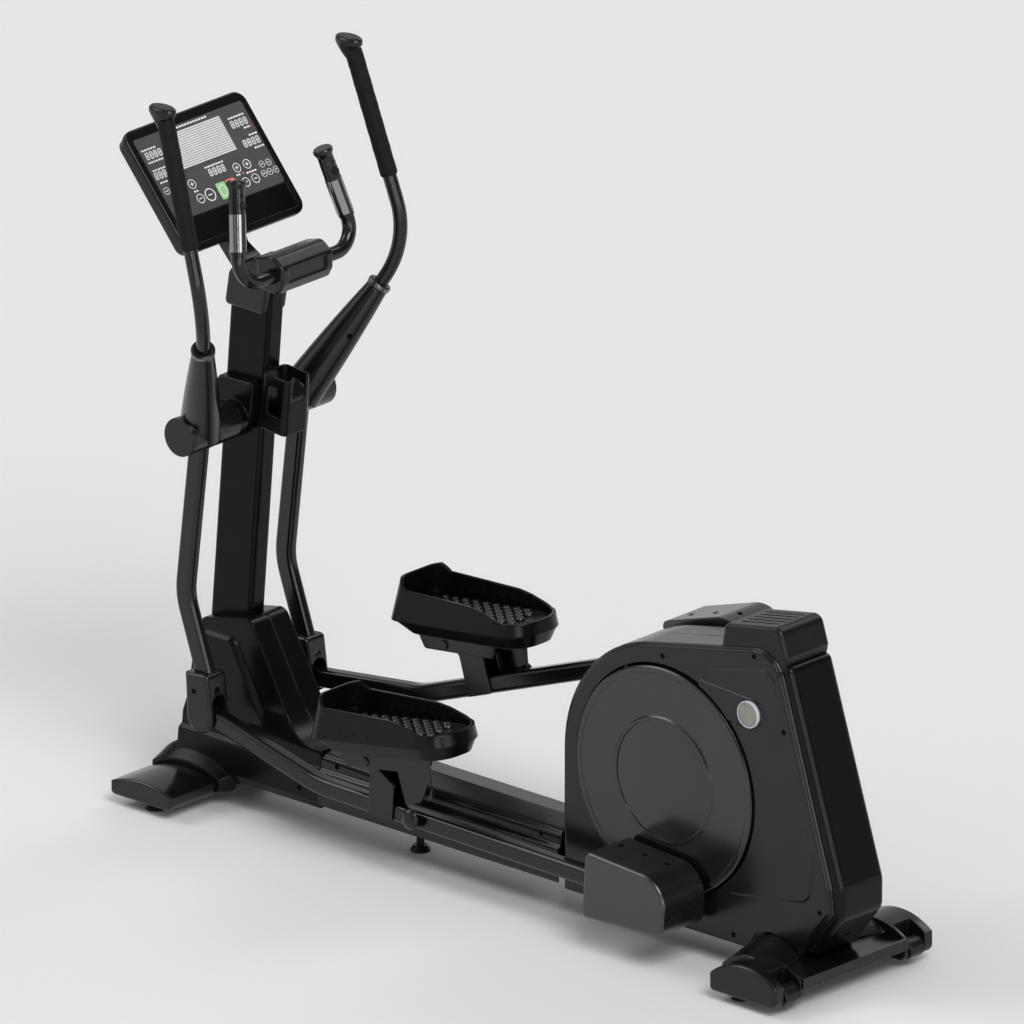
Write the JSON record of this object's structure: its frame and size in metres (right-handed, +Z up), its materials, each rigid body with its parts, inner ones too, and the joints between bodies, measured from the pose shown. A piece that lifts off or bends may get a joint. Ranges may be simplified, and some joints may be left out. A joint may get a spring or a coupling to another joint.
{
  "type": "elliptical trainer",
  "caption": "Rear-drive elliptical cross trainer with swinging handle arms, pedal links, fixed pulse handlebar, console and covered crank drive on a stabilised base.",
  "frame": {"origin": "on the floor under the middle of the machine", "axes": "+X from the console end to the drive end, +Y to the rider's right, +Z up"},
  "size_m": [2.0888, 0.6924, 1.722],
  "materials": {
    "painted_steel": "satin black powder coat",
    "black_plastic": "fine satin moulding",
    "rubber": "matt",
    "bright_steel": "brushed",
    "gloss_plastic": "gloss black",
    "membrane": "smooth printed panel",
    "lens": "frosted clear",
    "pulley_metal": "cast",
    "disc_plastic": "satin",
    "cast_iron": "machined",
    "foam": "closed-cell foam",
    "button": "soft"
  },
  "bodies": {
    "frame": {"base_frame": "painted_steel", "front_stabilizer": "painted_steel", "rear_end_caps": "black_plastic", "levelling_feet": "rubber", "mast": "painted_steel", "base_cover_left": "black_plastic", "base_cover_right": "black_plastic", "beam_cover": "black_plastic", "mast_top_cover": "black_plastic", "pivot_axle": "bright_steel", "pivot_covers": "black_plastic", "bottle_holder": "black_plastic", "handlebar_tube": "painted_steel", "handlebar_grips": "rubber", "pulse_plates": "bright_steel", "handlebar_cover": "black_plastic", "console_back": "black_plastic", "console_bezel": "gloss_plastic", "console_membrane": "membrane", "console_neck": "black_plastic", "housing_left": "black_plastic", "housing_right": "black_plastic", "housing_rear_panel": "black_plastic", "step_pad": "rubber", "housing_lenses": "lens", "drive_belt": "rubber"},
    "crank": {"crank_shaft": "bright_steel", "crank_pulley": "pulley_metal", "crank_discs": "disc_plastic"},
    "flywheel": {"flywheel": "cast_iron"},
    "swing_left": {"handle_tube_left": "painted_steel", "foam_grip_left": "foam", "arm_shroud_left": "black_plastic", "arm_trim_left": "black_plastic", "lower_arm_left": "painted_steel", "joint_cover_left": "black_plastic"},
    "link_left": {"link_tube_left": "painted_steel", "crank_cover_left": "black_plastic", "pedal_stand_left": "painted_steel", "tilt_knob_left": "black_plastic"},
    "pedal_left": {"pedal_shell_left": "black_plastic", "pedal_tread_left": "rubber", "pedal_channel_left": "painted_steel"},
    "wheel_left": {"wheel_left": "rubber"},
    "button_left": {"button_left": "button"},
    "swing_right": {"handle_tube_right": "painted_steel", "foam_grip_right": "foam", "arm_shroud_right": "black_plastic", "arm_trim_right": "black_plastic", "lower_arm_right": "painted_steel", "joint_cover_right": "black_plastic"},
    "link_right": {"link_tube_right": "painted_steel", "crank_cover_right": "black_plastic", "pedal_stand_right": "painted_steel", "tilt_knob_right": "black_plastic"},
    "pedal_right": {"pedal_shell_right": "black_plastic", "pedal_tread_right": "rubber", "pedal_channel_right": "painted_steel"},
    "wheel_right": {"wheel_right": "rubber"},
    "button_right": {"button_right": "button"}
  },
  "joints": [
    {"name": "crank_spin", "type": "hinge", "parent": "frame", "child": "crank", "pos_m": [0.519, 0, 0.398], "axis": [0, 1, 0], "continuous": true},
    {"name": "flywheel_spin", "type": "hinge", "parent": "frame", "child": "flywheel", "pos_m": [0.8, 0, 0.335], "axis": [0, 1, 0], "continuous": true},
    {"name": "swing_left", "type": "hinge", "parent": "frame", "child": "swing_left", "pos_m": [-0.815, -0.163, 0.912], "axis": [0, 1, 0], "range_deg": [-21, 21]},
    {"name": "link_left", "type": "hinge", "parent": "swing_left", "child": "link_left", "pos_m": [-0.792, -0.163, 0.243], "axis": [0, 1, 0], "range_deg": [-21, 21]},
    {"name": "pedal_tilt_left", "type": "hinge", "parent": "link_left", "child": "pedal_left", "pos_m": [-0.29908, -0.163, 0.31674], "axis": [0, -1, 0], "range_deg": [-25, 2]},
    {"name": "wheel_left", "type": "hinge", "parent": "frame", "child": "wheel_left", "pos_m": [0.994, -0.204, 0.044], "axis": [0, 1, 0], "continuous": true},
    {"name": "press_left", "type": "slide", "parent": "frame", "child": "button_left", "axis": [-0.9719, -0.054, -0.2292], "range_m": [0, 0.0012], "stiffness_N_per_m": 700},
    {"name": "swing_right", "type": "hinge", "parent": "frame", "child": "swing_right", "pos_m": [-0.815, 0.163, 0.912], "axis": [0, 1, 0], "range_deg": [-21, 21]},
    {"name": "link_right", "type": "hinge", "parent": "swing_right", "child": "link_right", "pos_m": [-0.792, 0.163, 0.243], "axis": [0, 1, 0], "range_deg": [-21, 21]},
    {"name": "pedal_tilt_right", "type": "hinge", "parent": "link_right", "child": "pedal_right", "pos_m": [-0.35837, 0.163, 0.4887], "axis": [0, -1, 0], "range_deg": [-2, 25]},
    {"name": "wheel_right", "type": "hinge", "parent": "frame", "child": "wheel_right", "pos_m": [0.994, 0.204, 0.044], "axis": [0, 1, 0], "continuous": true},
    {"name": "press_right", "type": "slide", "parent": "frame", "child": "button_right", "axis": [-0.9719, 0.054, -0.2292], "range_m": [0, 0.0012], "stiffness_N_per_m": 700}
  ],
  "couplings": [
    {"joint": "flywheel_spin", "follows": "crank_spin", "ratio": 6.4286},
    {"joint": "swing_right", "follows": "swing_left", "ratio": -1},
    {"joint": "link_left", "follows": "swing_left", "ratio": -1},
    {"joint": "link_right", "follows": "swing_left", "ratio": 1}
  ]
}
